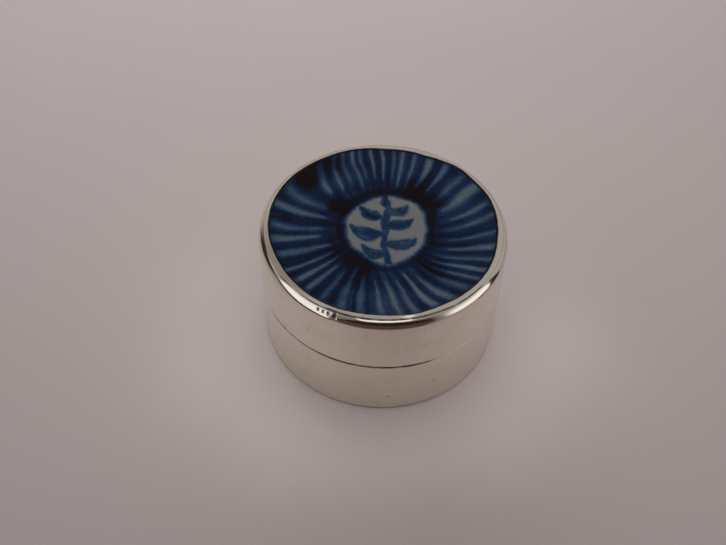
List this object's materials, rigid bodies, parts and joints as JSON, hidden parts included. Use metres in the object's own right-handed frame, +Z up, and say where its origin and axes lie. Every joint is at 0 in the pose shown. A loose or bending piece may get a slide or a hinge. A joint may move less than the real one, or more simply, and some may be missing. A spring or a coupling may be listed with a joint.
{
  "type": "trinket box",
  "caption": "Round polished silver trinket box whose lift-off lid is set with a disc of painted blue-and-white porcelain in a rubbed-over bezel.",
  "frame": {"origin": "centre of the underside, on the surface that the box stands on", "axes": "+Z up along the axis of the round box, towards the porcelain disc; -Y towards the side shown in front in the picture; +X to that side's right"},
  "size_m": [0.04, 0.04, 0.0229],
  "materials": {
    "silver": "polished",
    "porcelain": "gloss",
    "cork": "matte"
  },
  "bodies": {
    "base": {"base_floor": "silver", "base_wall": "silver", "inner_collar": "silver"},
    "lid": {"lid_wall": "silver", "lid_plate": "silver", "rim_moulding": "silver", "bezel": "silver", "setting_pad": "cork", "porcelain_disc": "porcelain"}
  },
  "joints": [
    {"name": "lid_lift", "type": "slide", "parent": "base", "child": "lid", "axis": [0, 0, 1], "range_m": [0, 0.04]}
  ]
}
